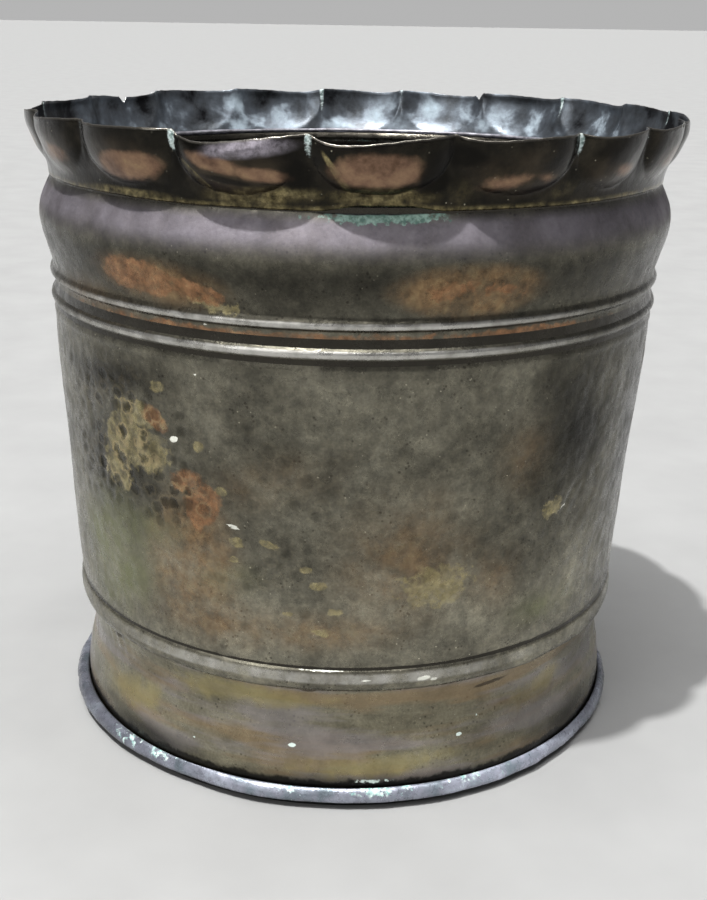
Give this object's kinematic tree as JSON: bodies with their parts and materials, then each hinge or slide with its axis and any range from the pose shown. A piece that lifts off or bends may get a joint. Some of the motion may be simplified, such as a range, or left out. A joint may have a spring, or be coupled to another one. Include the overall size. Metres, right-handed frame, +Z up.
{
  "type": "planter pot",
  "caption": "Round sheet-brass planter pot with a flared crimped collar, a beaded hammered drum, a waisted foot band and a hemmed base pan.",
  "frame": {"origin": "centre of the flat underside of the base pan", "axes": "+Z up along the pot's own axis, -Y towards the viewer of the front, +X to the right"},
  "size_m": [0.2996, 0.3006, 0.2865],
  "materials": {
    "drum_brass": "aged patina, planished with a hammer, semi-gloss",
    "collar_brass": "dark patina rubbed bright in the bays, semi-gloss",
    "foot_brass": "aged patina with level streaks, semi-gloss",
    "tinned_base": "dull tinned grey with verdigris",
    "solder": "dull oxidised soft solder"
  },
  "bodies": {
    "root": {"base_pan": "tinned_base", "base_solder": "solder", "foot_band": "foot_brass", "foot_seam_braze": "solder", "waist_solder": "solder", "drum": "drum_brass", "drum_seam_braze": "solder", "neck_solder": "solder", "crimped_collar": "collar_brass"}
  },
  "joints": []
}
